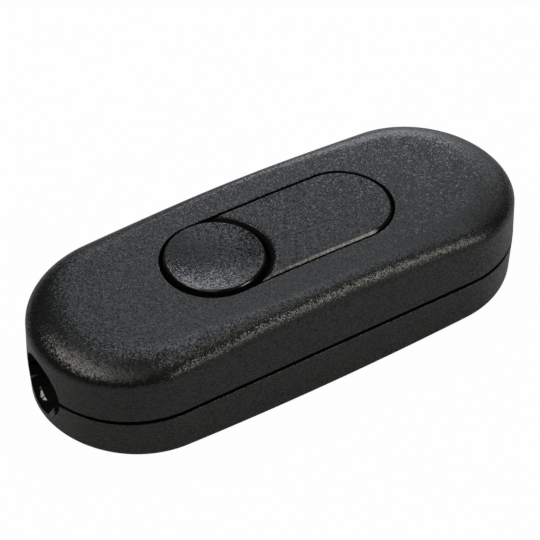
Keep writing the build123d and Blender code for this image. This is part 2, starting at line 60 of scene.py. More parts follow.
# Rounded edges: the upper one is narrow along the sides and wide over the ends
TOP_EDGE_H, SIDE_EDGE_W, END_EDGE_W, BOTTOM_EDGE_R = 3.5, 3.3, 8.0, 0.8
WALL, INNER_EDGE_R, MOULD_EDGE_R, CUT_EDGE_R = 2.2, 0.8, 0.2, 0.1
UPPER_DRAFT, LOWER_DRAFT = radians(2.5), radians(1.5)
# Shadow gap between the halves, and the lip behind it
SEAM_ABOVE, SEAM_BELOW, LIP_INSET, LIP_RISE, SEAM_CLEARANCE = 0.28, 0.52, 1.1, 1.8, 0.1
# Cord inlets
MOUTH_R, BORE_R, BELL_DEPTH, BORE_LENGTH = 5.4, 3.6, 5.5, 4.0
# Long opening, its recess, the button's guide hole, and the pad below that carries the recess
BUTTON_X, SLOT_R, SLOT_END_X = -12.1, 9.0, 12.4
RECESS_Z, FLOOR_UNDER_Z, GUIDE_R, PAD_W = 18.6, 17.4, 6.7, 1.6
# Plate with a slightly rounded bevel, and its hollow end that rolls down towards the button
PLATE_GAP, PLATE_PROUD, PLATE_EDGE_R = 0.45, 0.15, 0.36
PLATE_TILTS = radians(47), radians(53)
BITE_R, BITE_EDGE_W, BITE_EDGE_H = 9.2, 1.15, 0.65
# Button, with the skirt, shoulder and stem below it
BUTTON_R, RIM_Z, RIM_W, RIM_EDGE_R, DISH_DEPTH = 8.3, 21.55, 0.35, 0.3, 1.0
RIM_TILTS = radians(32), radians(54)
CAP_UNDER_Z, SKIRT_R, SKIRT_IN_R, SKIRT_END_Z = 19.55, 6.5, 5.4, 17.0
SHOULDER_R, SHOULDER_Z, STEM_R, STEM_END_Z = 3.1, 15.2, 1.5, 11.75
SPRING_R, SPRING_WIRE_R, SPRING_TURNS, PRESS_TRAVEL = 2.5, 0.22, 4, 0.8
# Screw wells in the underside
SCREW_X, SCREW_Y, SCREW_WELL_R, SCREW_HOLE_R, SCREW_SEAT_Z = 27.5, 11.4, 2.5, 1.4, 4.2

# How finely the pieces are divided: steps along each run, and the spacing of points on broad faces
MOUTH_STEPS, ARC_STEPS, RUN_STEPS, BELL_STEPS = 40, 26, 40, 12
CUT_EDGE_STEPS, INNER_EDGE_STEPS, RIM_STEPS = 3, 4, 5
ROUND_STEPS, SIDE_STEPS, HOLE_STEPS, ROLL_STEPS = 48, 24, 60, 8
BUTTON_STEPS, DISH_STEPS, COIL_STEPS, WIRE_STEPS = 128, 24, 128, 10
SHOWN_MESH, BASE_MESH, HIDDEN_MESH = 2.0, 2.5, 4.0
# The polished lower lip of an inlet: how many steps of the bell deep, and how many from the seam
POLISHED_DEEP, POLISHED_FROM = 3, 6
# Part of the plate's roll that still has the top's finish; below it the roll is painted dark as the button's
# shadow
ROLL_LIT = 3

UP, DOWN = Vector((0, 0, 1)), Vector((0, 0, -1))


# ---------------------------------------------------------------- meshes

class Skin:
    """Collects the faces of one piece in millimetres. A corner is a place with the normal of its surface."""

    def __init__(self):
        self.index, self.places, self.faces, self.normals, self.finishes = {}, [], [], [], []

    def face(self, corners, finish=0):
        ids, kept = [], []
        for place, normal in corners:
            key = tuple(round(c, 4) for c in place)
            if key not in self.index:
                self.index[key] = len(self.places)
                self.places.append(place)
            if self.index[key] not in ids:
                ids.append(self.index[key])
                kept.append((place, normal))
        if len(ids) < 3:
            return
        across = (kept[2][0] - kept[0][0]).cross(kept[-1][0] - kept[1][0])
        if across.dot(kept[0][1] + kept[1][1] + kept[2][1]) < 0:
            ids.reverse()
            kept.reverse()
        self.faces.append(ids)
        self.normals += [normal for _, normal in kept]
        self.finishes.append(finish)

    def bands(self, rows, closed=True, finish=0):
        """Quads between rows of corners that match one to one."""
        for low, high in zip(rows, rows[1:]):
            for i in range(len(low) if closed else len(low) - 1):
                j = (i + 1) % len(low)
                self.face([low[i], low[j], high[j], high[i]], finish)

    def fill(self, loops, surface, spacing, finish=0):
        """Triangles between closed loops of (x, y); surface gives the corner above each of them."""
        points, edges = [], []
        for loop in loops:
            ring = [p for i, p in enumerate(loop) if (p - loop[i - 1]).length > 1e-4]
            first = len(points)
            points += ring
            edges += [(first + i, first + (i + 1) % len(ring)) for i in range(len(ring))]
        half_x = max(abs(p.x) for p in points)
        half_y = max(abs(p.y) for p in points)
        for i in range(int(-half_x / spacing), int(half_x / spacing) + 1):
            for j in range(int(-half_y / spacing), int(half_y / spacing) + 1):
                inner = Vector((spacing * (i + 0.5 * (j % 2)), spacing * j))
                if within(inner, loops) and min((inner - p).length for p in points) > 0.5 * spacing:
                    points.append(inner)
        flat, _, triangles, *_ = delaunay_2d_cdt(points, edges, [], 0, 1e-6)
        for triangle in triangles:
            middle = sum((flat[i] for i in triangle), Vector((0, 0))) / 3
            if within(middle, loops):
                self.face([surface(flat[i].x, flat[i].y) for i in triangle], finish)

    def piece(self, name, finishes, body, node):
        mesh = bpy.data.meshes.new(name)
        mesh.from_pydata([place * MM for place in self.places], [], self.faces)
        for finish in finishes:
            mesh.materials.append(finish)
        mesh.polygons.foreach_set("use_smooth", [True] * len(self.faces))
        mesh.polygons.foreach_set("material_index", self.finishes)
        mesh.normals_split_custom_set([normal.normalized() for normal in self.normals])
        made = bpy.data.objects.new(name, mesh)
        scene.collection.objects.link(made)
        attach(made, body)
        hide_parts(node)
        return made


def within(point, loops):
    """True where a line to the right of the point crosses the loops an odd number of times."""
    odd = False
    for loop in loops:
        for a, b in zip(loop, loop[1:] + loop[:1]):
            if (a.y > point.y) != (b.y > point.y):
                if point.x < a.x + (point.y - a.y) * (b.x - a.x) / (b.y - a.y):
                    odd = not odd
    return odd


def arc(centre_x, radius, start, end, count, facing=1):
    """Corners of an outline along an arc about a point on the long axis: place and sideways normal in plan."""
    turns = [start + (end - start) * i / count for i in range(count + 1)]
    corners = []
    for a in turns:
        place = Vector((centre_x + radius * cos(a), radius * sin(a)))
        corners.append((place, facing * Vector((cos(a), sin(a)))))
    return corners


def line(start, end, count, normal):
    """Corners of an outline along a straight run."""
    start, end = Vector(start), Vector(end)
    return [(start.lerp(end, i / count), Vector(normal)) for i in range(count + 1)]


def mirrored(run):
    """The same run on the other side of the long axis, in the order that closes the loop."""
    return [(Vector((p.x, -p.y)), Vector((n.x, -n.y))) for p, n in reversed(run)]


def turned(start, end, share):
    """Normal part of the way from one direction to another."""
    return start.slerp(end, share, (start + end).normalized())


def crown(x, y, rise=0.0):
    """Corner on the crowned top, moved up by rise."""
    radius = CROWN_R + rise
    height = TOP_Z - CROWN_R + sqrt(radius**2 - x * x - y * y)
    return Vector((x, y, height)), Vector((x, y, height - TOP_Z + CROWN_R)) / radius


def underside(x, y, rise=0.0):
    """Corner on the underside, which is crowned along the length only."""
    radius = BASE_CROWN_R - rise
    height = BASE_CROWN_R - sqrt(radius**2 - x * x)
    return Vector((x, y, height)), Vector((x, 0, height - BASE_CROWN_R)) / radius


# ---------------------------------------------------------------- housing

MOUTH_EDGE_Y = sqrt(MOUTH_R**2 - SEAM_ABOVE**2)
# Beyond this part of the mouth a sample lies on its edge, where the mouth meets the seam
MOUTH_END = 0.9999
# Rounds in which the end of a wall is found, at its rounded edge and at its foot
EDGE_ROUNDS, FOOT_ROUNDS = 5, 6


def housing_samples():
    """Samples round the housing: (arc centre x, direction in plan, part of the mouth from -1 to 1 or None)."""
    mouth = [sin(pi / 2 * (2 * i / MOUTH_STEPS - 1)) for i in range(MOUTH_STEPS + 1)]
    edge = asin(MOUTH_EDGE_Y / END_R)
    shoulder = [edge + (pi / 2 - edge) * i / ARC_STEPS for i in range(1, ARC_STEPS + 1)]
    end = [(END_X, -a, None) for a in reversed(shoulder)]
    end += [(END_X, asin(MOUTH_EDGE_Y * m / END_R), m) for m in mouth]
    end += [(END_X, a, None) for a in shoulder]
    run = [(END_X - 2 * END_X * i / RUN_STEPS, pi / 2, None) for i in range(1, RUN_STEPS)]
    half = end + run
    return half + [(-x, a + pi, m) for x, a, m in half]


SAMPLES = housing_samples()


class HalfShell:
    """Outer or inner surface of one half of the housing: side is 1 for the upper half and -1 for the lower one."""

    def __init__(self, side, inset):
        self.side, self.inset = side, inset
        self.draft = UPPER_DRAFT if side > 0 else LOWER_DRAFT
        self.seam = SEAM_ABOVE if side > 0 else SEAM_BELOW

    def plan(self, sample, inset):
        x, a, _ = sample
        return Vector((x + (END_R - inset) * cos(a), (END_R - inset) * sin(a), 0))

    def wall_normal(self, sample):
        a = sample[1]
        return Vector((cos(a) * cos(self.draft), sin(a) * cos(self.draft), self.side * sin(self.draft)))

    def wall(self, sample, height):
        """Corner on the drafted wall at a height."""
        place = self.plan(sample, self.inset + abs(height - PARTING_Z) * tan(self.draft))
        place.z = height
        return place, self.wall_normal(sample)

    def edge_size(self, sample):
        """Width and height of the rounded edge. The upper one widens from the middle of a side to the tips."""
        if self.side < 0:
            return BOTTOM_EDGE_R, BOTTOM_EDGE_R
        if self.inset:
            return INNER_EDGE_R, INNER_EDGE_R
        x, a, _ = sample
        way = abs(x) + END_R * (pi / 2 - asin(min(1.0, abs(sin(a)))))
        share = (1 - cos(pi * way / (END_X + END_R * pi / 2))) / 2
        return SIDE_EDGE_W + share * (END_EDGE_W - SIDE_EDGE_W), TOP_EDGE_H

    def edge(self, sample, steps):
        """Height where the wall ends, then places over the rounded edge with the direction of the climb there."""
        width, rise = self.edge_size(sample)
        cap = crown if self.side > 0 else underside
        out = Vector((cos(sample[1]), sin(sample[1]), 0))
        corner = TOP_Z if self.side > 0 else 0.0
        for _ in range(EDGE_ROUNDS):
            start = self.inset + abs(corner - PARTING_Z) * tan(self.draft)
            inner = self.plan(sample, start + width)
            last, normal = cap(inner.x, inner.y, -self.side * self.inset)
            corner = last.z - width * normal.dot(out) / normal.z
        height = corner - self.side * rise
        corner = self.plan(sample, start) + corner * UP
        down, back = self.wall(sample, height)[0] - corner, last - corner
        run = []
        for i in range(steps + 1):
            a = pi / 2 * i / steps
            run.append((corner + (1 - sin(a)) * down + (1 - cos(a)) * back, sin(a) * back - cos(a) * down))
        return height, run

    def edge_columns(self, steps):
        """For each sample the height where the wall ends and the corners over the rounded edge."""
        runs = [self.edge(sample, steps) for sample in SAMPLES]
        columns = []
        for j, (height, run) in enumerate(runs):
            before, after = runs[j - 1][1], runs[(j + 1) % len(runs)][1]
            corners = []
            for (place, climb), (p, _), (q, _) in zip(run, before, after):
                corners.append((place, self.side * (q - p).cross(climb).normalized()))
            columns.append((height, corners))
        return columns

    def foot(self, sample):
        """Place where the wall meets the seam or the mouth of an inlet, and the normal of what it meets there."""
        height = PARTING_Z + self.side * self.seam
        flat = DOWN * self.side
        if sample[2] is None:
            return self.wall(sample, height)[0], flat
        for _ in range(FOOT_ROUNDS):
            place = self.wall(sample, height)[0]
            height = PARTING_Z + self.side * sqrt(max(MOUTH_R**2 - place.y**2, self.seam**2))
        place = self.wall(sample, height)[0]
        round_in = Vector((0, -place.y, PARTING_Z - place.z)).normalized()
        if abs(sample[2]) > MOUTH_END:
            round_in = (round_in + flat).normalized()
        return place, round_in

    def rounded_foot(self, sample):
        """Corners over the small round between the wall and what it meets."""
        place, below = self.foot(sample)
        normal = self.wall_normal(sample)
        centre = place - CUT_EDGE_R * (normal + below)
        normals = [turned(normal, below, i / CUT_EDGE_STEPS) for i in range(CUT_EDGE_STEPS + 1)]
        return [(centre + CUT_EDGE_R * n, n) for n in normals]


def columns_to_rows(columns):
    return [list(row) for row in zip(*columns)]


def sample_runs():
    """The samples split into the two mouths and the two seams between them."""
    first = [i for i, s in enumerate(SAMPLES) if s[2] is not None and s[2] < -MOUTH_END]
    last = [i for i, s in enumerate(SAMPLES) if s[2] is not None and s[2] > MOUTH_END]
    mouths = [SAMPLES[a:b + 1] for a, b in zip(first, last)]
    seams = [SAMPLES[last[0]:first[1] + 1], SAMPLES[last[1]:] + SAMPLES[:first[0] + 1]]
    return mouths, seams


MOUTHS, SEAMS = sample_runs()


def outer_wall(skin, half, wall_steps, edge_steps):
    """Drafted wall and rounded edge; returns the last loop of the edge."""
    columns = []
    for sample, (height, over) in zip(SAMPLES, half.edge_columns(edge_steps)):
        start = half.rounded_foot(sample)[0]
        low = start[0].z
        rise = [low + (height - low) * i / wall_steps for i in range(1, wall_steps)]
        columns.append([start] + [half.wall(sample, h) for h in rise] + over)
    rows = columns_to_rows(columns)
    skin.bands(rows)
    return [place.xy for place, _ in rows[-1]]


def inlet_funnels(skin, half):
    """Inside of the two cord inlets: a bell that starts at the rim of the mouth, then the bore."""
    for run in MOUTHS:
        columns = []
        for sample in run:
            column = half.rounded_foot(sample)[:2]
            rim = column[-1][0]
            end = 1 if rim.x > 0 else -1
            turn = atan2(rim.z - PARTING_Z, rim.y)
            depth = BELL_DEPTH - LENGTH / 2 + abs(rim.x)
            rise = Vector((rim.y, rim.z - PARTING_Z)).length - BORE_R
            bell_r = (depth**2 + rise**2) / (2 * rise)
            slopes = [asin(depth / bell_r) * (1 - i / BELL_STEPS) for i in range(BELL_STEPS + 1)]
            profile = [(BELL_DEPTH - bell_r * sin(a), BORE_R + bell_r * (1 - cos(a)), a) for a in slopes]
            profile.append((BELL_DEPTH + BORE_LENGTH, BORE_R, 0.0))
            for inward, radius, slope in profile:
                spot = Vector((end * (LENGTH / 2 - inward), radius * cos(turn), PARTING_Z + radius * sin(turn)))
                normal = Vector((end * sin(slope), -cos(slope) * cos(turn), -cos(slope) * sin(turn)))
                column.append((spot, normal))
            columns.append(column)
        rows = columns_to_rows(columns)
        skin.bands(rows[:2], closed=False)
        # Bells and bores wear the painted-shade finish so the inlets stay black inside; only part of the lower lip
        # is polished
        for k, (low, high) in enumerate(zip(rows[2:], rows[3:])):
            for i in range(MOUTH_STEPS):
                lower_lip = half.side < 0 and k < POLISHED_DEEP
                polished = lower_lip and POLISHED_FROM <= i < MOUTH_STEPS - POLISHED_FROM
                skin.face([low[i], low[i + 1], high[i + 1], high[i]], finish=1 if polished else 2)


def seam_faces(skin, half):
    """Faces in the shadow gap: the flat of each half, and the lower one's lip or the upper one's rebate."""
    depth = LIP_INSET - SEAM_CLEARANCE if half.side > 0 else LIP_INSET
    flat = DOWN * half.side
    for run in SEAMS:
        columns = []
        for sample in run:
            over = half.rounded_foot(sample)
            inner = half.plan(sample, depth)
            inner.z = PARTING_Z + half.side * half.seam
            columns.append(over + [(inner, flat)])
        rows = columns_to_rows(columns)
        skin.bands(rows[:-1], closed=False)
        # The flat, the lip and the rebate inside the gap wear the painted-shade finish, so the gap reads as a
        # black line
        skin.bands(rows[-2:], closed=False, finish=2)
        out = [Vector((cos(s[1]), sin(s[1]), 0)) * -half.side for s in run]
        low = [(place, n) for (place, _), n in zip(rows[-1], out)]
        high = [(Vector((place.x, place.y, PARTING_Z + LIP_RISE)), n) for place, n in low]
        skin.bands([low, high], closed=False, finish=2)


def inner_wall(skin, half):
    """Inside of the wall and its edge, left open where the inlets pass through; returns the last loop."""
    columns = []
    for sample, (_, over) in zip(SAMPLES, half.edge_columns(INNER_EDGE_STEPS)):
        rise = LIP_RISE
        if sample[2] is not None:
            rise = sqrt(MOUTH_R**2 - half.plan(sample, half.inset).y**2)
        start = half.wall(sample, PARTING_Z + half.side * rise)
        columns.append([(place, -normal) for place, normal in [start] + over])
    rows = columns_to_rows(columns)
    skin.bands(rows)
    return [place.xy for place, _ in rows[-1]]


def opening_outline(inset):
    """The long opening: round at the plate's end, straight sides, and the button's hole as the other end."""
    half = SLOT_R - inset
    end = arc(SLOT_END_X, half, -pi / 2, pi / 2, ROUND_STEPS, -1)
    side = line((SLOT_END_X, half), (BUTTON_X, half), SIDE_STEPS, (0, -1))
    hole = arc(BUTTON_X, half, pi / 2, 3 * pi / 2, HOLE_STEPS, -1)
    return end + side + hole + mirrored(side)


# Profiles of a rim: each step is how far round the edge it lies and how far its normal leans out
ROUNDED = [(pi / 2 * i / RIM_STEPS, pi / 2 * i / RIM_STEPS) for i in range(RIM_STEPS + 1)]
BEVELLED = [(0.0, PLATE_TILTS[0]), (pi / 2, PLATE_TILTS[1])]


def edge_rows(outline, top, radius, profile, sign):
    """Rows over the rim of an opening (sign -1) or a plate (1), with one of the profiles above."""
    heights = [top(p.x, p.y)[0].z for p, _ in outline(sign * radius)]
    rows = []
    for a, tilt in profile:
        row = []
        for (p, n), z in zip(outline(sign * radius * (1 - sin(a))), heights):
            normal = Vector((n.x * sin(tilt), n.y * sin(tilt), cos(tilt)))
            row.append((Vector((p.x, p.y, z - radius * (1 - cos(a)))), normal))
        rows.append(row)
    return rows


def dropped(row, height):
    """The row's upright wall down to a height."""
    flat = [(place, Vector((normal.x, normal.y, 0))) for place, normal in row]
    return [flat, [(Vector((place.x, place.y, height)), normal) for place, normal in flat]]


def round_loop(x, y, radius):
    turns = [2 * pi * i / ROUND_STEPS for i in range(ROUND_STEPS)]
    return [Vector((x + radius * cos(a), y + radius * sin(a))) for a in turns]


def upright_tube(skin, x, y, radius, low, high, facing):
    """Upright round wall that faces its axis (-1) or away from it (1)."""
    rows = []
    for height in (low, high):
        ring = round_loop(x, y, radius)
        out = [facing * Vector((p.x - x, p.y - y, 0)).normalized() for p in ring]
        rows.append([(Vector((p.x, p.y, height)), normal) for p, normal in zip(ring, out)])
    skin.bands(rows)


def make_upper_shell(finishes):
    skin = Skin()
    half = HalfShell(1, 0.0)
    edge_loop = outer_wall(skin, half, wall_steps=5, edge_steps=16)
    rows = edge_rows(opening_outline, crown, MOULD_EDGE_R, ROUNDED, -1)
    skin.fill([edge_loop, [place.xy for place, _ in rows[0]]], crown, SHOWN_MESH)
    skin.bands(rows)
    # The opening's walls and the recess floor wear the painted-shade finish, so the gaps round button and plate
    # stay black
    skin.bands(dropped(rows[-1], RECESS_Z), finish=2)
    floor_loop = [p for p, _ in opening_outline(0.0)]
    guide = round_loop(BUTTON_X, 0, GUIDE_R)
    skin.fill([floor_loop, guide], lambda x, y: (Vector((x, y, RECESS_Z)), UP), HIDDEN_MESH, finish=2)
    upright_tube(skin, BUTTON_X, 0, GUIDE_R, FLOOR_UNDER_Z, RECESS_Z, -1)
    inlet_funnels(skin, half)
    seam_faces(skin, half)
    roof_loop = inner_wall(skin, HalfShell(1, WALL))
    under = [p for p, _ in opening_outline(-PAD_W)]

    def roof(x, y):
        place, normal = crown(x, y, -WALL)
        return place, -normal

    skin.fill([roof_loop, under], roof, HIDDEN_MESH)
    pad = [crown(p.x, p.y, -WALL)[0] for p in under]
    pad_side = [(p, Vector((-n.x, -n.y, 0))) for p, (_, n) in zip(pad, opening_outline(-PAD_W))]
    skin.bands([pad_side, [(Vector((p.x, p.y, FLOOR_UNDER_Z)), n) for p, n in pad_side]])
    skin.fill([under, guide], lambda x, y: (Vector((x, y, FLOOR_UNDER_Z)), DOWN), HIDDEN_MESH)
    skin.piece("upper_housing", finishes, "housing", "upper_shell")


def make_lower_shell(finishes):
    skin = Skin()
    half = HalfShell(-1, 0.0)
    edge_loop = outer_wall(skin, half, wall_steps=4, edge_steps=8)
    wells = [(sx * SCREW_X, sy * SCREW_Y) for sx in (-1, 1) for sy in (-1, 1)]
    well_loops = [round_loop(x, y, SCREW_WELL_R) for x, y in wells]
    skin.fill([edge_loop] + well_loops, underside, BASE_MESH)
    for x, y in wells:
        rim = [underside(p.x, p.y)[0] for p in round_loop(x, y, SCREW_WELL_R)]
        inward = [(p, Vector((x - p.x, y - p.y, 0)).normalized()) for p in rim]
        skin.bands([inward, [(Vector((p.x, p.y, SCREW_SEAT_Z)), n) for p, n in inward]])
        seat = [[(Vector((p.x, p.y, SCREW_SEAT_Z)), DOWN) for p in round_loop(x, y, r)]
                for r in (SCREW_WELL_R, SCREW_HOLE_R)]
        skin.bands(seat)
        upright_tube(skin, x, y, SCREW_HOLE_R, SCREW_SEAT_Z, PARTING_Z, -1)
    inlet_funnels(skin, half)
    seam_faces(skin, half)
    floor_loop = inner_wall(skin, HalfShell(-1, WALL))
    columns = [round_loop(x, y, SCREW_HOLE_R) for x, y in wells]

    def floor(x, y):
        place, normal = underside(x, y, WALL)
        return place, -normal

    skin.fill([floor_loop] + columns, floor, HIDDEN_MESH)
    skin.piece("lower_housing", finishes, "housing", "lower_shell")


# ---------------------------------------------------------------- button and plate

def make_button(finishes):
    """Turned profile: dish, bevelled rim, side, then skirt, shoulder and stem below the housing's top."""
    dish_edge = BUTTON_R - RIM_W
    dish_r = (dish_edge**2 + DISH_DEPTH**2) / (2 * DISH_DEPTH)
    slope = asin(dish_edge / dish_r)
    top = []
    for i in range(DISH_STEPS + 1):
        a = slope * i / DISH_STEPS
        top.append((dish_r * sin(a), RIM_Z - DISH_DEPTH + dish_r * (1 - cos(a)), -a))
    top.append((BUTTON_R - RIM_EDGE_R, RIM_Z, 0.0))
    bevel = [(BUTTON_R - RIM_EDGE_R, RIM_Z, RIM_TILTS[0]), (BUTTON_R, RIM_Z - RIM_EDGE_R, RIM_TILTS[1])]
    side = [(BUTTON_R, RIM_Z - RIM_EDGE_R, pi / 2), (BUTTON_R, CAP_UNDER_Z, pi / 2)]
    below = [(BUTTON_R, CAP_UNDER_Z), (SKIRT_R, CAP_UNDER_Z), (SKIRT_R, SKIRT_END_Z), (SKIRT_IN_R, SKIRT_END_Z),
             (SKIRT_IN_R, CAP_UNDER_Z), (SHOULDER_R, CAP_UNDER_Z), (SHOULDER_R, SHOULDER_Z), (STEM_R, SHOULDER_Z),
             (STEM_R, STEM_END_Z), (0.0, STEM_END_Z)]
    skin = Skin()

    def ring(radius, height, tilt):
        corners = []
        for i in range(BUTTON_STEPS):
            a = 2 * pi * i / BUTTON_STEPS
            place = Vector((BUTTON_X + radius * cos(a), radius * sin(a), height))
            corners.append((place, Vector((sin(tilt) * cos(a), sin(tilt) * sin(a), cos(tilt)))))
        return corners

    skin.bands([ring(*spot) for spot in top])
    skin.bands([ring(*spot) for spot in bevel], finish=2)
    # The side and everything below the cap wear the painted-shade finish, so the band round the button stays black
    skin.bands([ring(*spot) for spot in side], finish=1)
    for (r0, z0), (r1, z1) in zip(below, below[1:]):
        tilt = pi if r0 != r1 else pi / 2 if z1 < z0 else -pi / 2
        skin.bands([ring(r0, z0, tilt), ring(r1, z1, tilt)], finish=1)
    skin.piece("press_button", finishes, "button", "push_button")


# Radii about the button's axis from the top of the plate's roll down to its lip
ROLL_RADII = [BITE_R + BITE_EDGE_W * (1 - sin(pi / 2 * k / ROLL_STEPS)) for k in range(ROLL_STEPS + 1)]


def plate_top(x, y):
    """Corner on the plate's top, which rolls down towards the button."""
    place, normal = crown(x, y, PLATE_PROUD)
    out = Vector((x - BUTTON_X, y, 0))
    near = (BITE_R + BITE_EDGE_W - out.length) / BITE_EDGE_W
    if near > 0:
        place.z -= BITE_EDGE_H * near**2
        normal = (normal - 2 * BITE_EDGE_H / BITE_EDGE_W * near * out.normalized()).normalized()
    return place, normal


def plate_outline(inset):
    """Rim of the plate from one pointed tip beside the button round to the other."""
    half = SLOT_R - PLATE_GAP - inset
    roll = [Vector((BUTTON_X + sqrt(r**2 - half**2), half)) for r in ROLL_RADII]
    side = line((SLOT_END_X, half), roll[0], SIDE_STEPS, (0, 1))
    side += [(p, Vector((0, 1))) for p in roll[1:]]
    return mirrored(side) + arc(SLOT_END_X, half, -pi / 2, pi / 2, ROUND_STEPS) + side


def make_plate(finishes):
    skin = Skin()
    rows = edge_rows(plate_outline, plate_top, PLATE_EDGE_R, BEVELLED, 1)
    skin.bands(rows, closed=False, finish=1)
    # The plate's walls down into the recess wear the painted-shade finish, so the gap round it stays black
    skin.bands(dropped(rows[-1], RECESS_Z), closed=False, finish=2)
    half = SLOT_R - PLATE_GAP - PLATE_EDGE_R
    roll = []
    for r in ROLL_RADII:
        turn = asin(half / r)
        roll.append([plate_top(p.x, p.y) for p, _ in arc(BUTTON_X, r, turn, -turn, ROUND_STEPS)])
    skin.bands(roll[:ROLL_LIT + 1], closed=False)
    # Below ROLL_LIT the roll wears the painted-shade finish: a painted shadow of the button
    skin.bands(roll[ROLL_LIT:], closed=False, finish=2)
    top = rows[0][ROLL_STEPS:-ROLL_STEPS] + roll[0]
    skin.fill([[place.xy for place, _ in top]], plate_top, SHOWN_MESH)
    lip = roll[-1]
    for run in ([row[0] for row in rows], lip, [row[-1] for row in rows]):
        inward = [(place, Vector((BUTTON_X - place.x, -place.y, 0)).normalized()) for place, _ in run]
        skin.bands(dropped(inward, RECESS_Z), closed=False, finish=2)
    base = [place.xy for place, _ in rows[-1] + lip]
    skin.fill([base], lambda x, y: (Vector((x, y, RECESS_Z)), DOWN), HIDDEN_MESH)
    skin.piece("slot_plate", finishes, "housing", "cover_plate")


def make_spring(finishes):
    """Coil between the switch and the button's shoulder, drawn at its rest length."""
    low, high = (corner[2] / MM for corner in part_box("return_spring"))
    climb = high - low - 2 * SPRING_WIRE_R
    rows = []
    for i in range(COIL_STEPS + 1):
        turn = 2 * pi * SPRING_TURNS * i / COIL_STEPS
        out = Vector((cos(turn), sin(turn), 0))
        along = Vector((-sin(turn), cos(turn), climb / (2 * pi * SPRING_TURNS * SPRING_R))).normalized()
        middle = Vector((BUTTON_X, 0, low + SPRING_WIRE_R + climb * i / COIL_STEPS)) + SPRING_R * out
        round_wire = [2 * pi * k / WIRE_STEPS for k in range(WIRE_STEPS)]
        normals = [cos(a) * out + sin(a) * along.cross(out) for a in round_wire]
        rows.append([(middle + SPRING_WIRE_R * normal, normal) for normal in normals])
    skin = Skin()
    skin.bands(rows)
    for row, facing in ((rows[0], -along), (rows[-1], along)):
        skin.face([(place, facing) for place, _ in row])
    spring = skin.piece("button_spring", finishes, "housing", "return_spring")
    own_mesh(spring)


# ---------------------------------------------------------------- finishes

def colour(text):
    """sRGB hex to linear."""
    parts = [int(text[i:i + 2], 16) / 255 for i in (1, 3, 5)]
    return tuple(c / 12.92 if c <= 0.04045 else ((c + 0.055) / 1.055) ** 2.4 for c in parts) + (1.0,)


def add(tree, kind, values=None, links=None, **settings):
    """Adds one node: settings are its properties, values fill its sockets, links join them to other sockets."""
    made = tree.nodes.new(kind)
    for key, value in settings.items():
        setattr(made, key, value)
    for key, value in (values or {}).items():
        made.inputs[key].default_value = value
    for key, source in (links or {}).items():
        tree.links.new(source, made.inputs[key])
    return made


def new_finish(name):
    finish = bpy.data.materials.new(name)
    finish.use_nodes = True
    finish.node_tree.nodes.clear()
    return finish, finish.node_tree


# Most of the noise lies between these
NOISE_LOW, NOISE_HIGH = 0.3, 0.7


def speckled(name, dark, light, grain_mm, depth_mm, roughness, specular=0.5, metallic=0.0):
    """Finish with a grain: colour, gloss and height all follow noise whose size is given in millimetres."""
    finish, tree = new_finish(name)
    place = add(tree, "ShaderNodeTexCoord").outputs["Object"]
    grain = add(tree, "ShaderNodeTexNoise", {"Scale": 1 / (grain_mm * MM), "Detail": 1.0},
                {"Vector": place}).outputs["Fac"]
    pits = add(tree, "ShaderNodeMapRange", {"From Min": NOISE_LOW, "From Max": NOISE_HIGH}, {"Value": grain})
    tint = add(tree, "ShaderNodeMix", {"A": colour(dark), "B": colour(light)}, {"Factor": pits.outputs["Result"]},
               data_type="RGBA")
    gloss = add(tree, "ShaderNodeMapRange", {"To Min": roughness[1], "To Max": roughness[0]},
                {"Value": pits.outputs["Result"]})
    bump = add(tree, "ShaderNodeBump", {"Distance": depth_mm * MM}, {"Height": grain})
    shader = add(tree, "ShaderNodeBsdfPrincipled", {"Metallic": metallic, "Specular IOR Level": specular},
                 {"Base Color": tint.outputs["Result"], "Roughness": gloss.outputs["Result"],
                  "Normal": bump.outputs["Normal"]})
    add(tree, "ShaderNodeOutputMaterial", links={"Surface": shader.outputs["BSDF"]})
    return finish


ABS_IOR = 1.53


def eroded(name, dark, light, grain_mm, tilt, sparkle, roughness, specular=0.5):
    """Moulded finish from an eroded tool: small facets, each with its own tilt, shade and share of the shine."""
    finish, tree = new_finish(name)
    place = add(tree, "ShaderNodeTexCoord").outputs["Object"]
    facet = add(tree, "ShaderNodeTexVoronoi", {"Scale": 1 / (grain_mm * MM)}, {"Vector": place}).outputs["Color"]
    lean = add(tree, "ShaderNodeVectorMath", {1: (0.5, 0.5, 0.5)}, {0: facet}, operation="SUBTRACT")
    normal = add(tree, "ShaderNodeNewGeometry").outputs["Normal"]
    turn = add(tree, "ShaderNodeVectorMath", {1: (tilt, tilt, tilt)}, {0: lean.outputs[0], 2: normal},
               operation="MULTIPLY_ADD")
    up = add(tree, "ShaderNodeVectorMath", links={0: turn.outputs[0]}, operation="NORMALIZE")
    share = add(tree, "ShaderNodeSeparateColor", links={0: facet}).outputs["Red"]
    tint = add(tree, "ShaderNodeMix", {"A": colour(dark), "B": colour(light)}, {"Factor": share}, data_type="RGBA")
    gloss = add(tree, "ShaderNodeMapRange", {"To Min": roughness[1], "To Max": roughness[0]}, {"Value": share})
    shine = add(tree, "ShaderNodeMapRange",
                {"To Min": specular * (1 - sparkle), "To Max": specular * (1 + sparkle)}, {"Value": share})
    shader = add(tree, "ShaderNodeBsdfPrincipled", {"IOR": ABS_IOR},
                 {"Base Color": tint.outputs["Result"], "Roughness": gloss.outputs["Result"],
                  "Specular IOR Level": shine.outputs["Result"], "Normal": up.outputs[0]})
    add(tree, "ShaderNodeOutputMaterial", links={"Surface": shader.outputs["BSDF"]})
    return finish


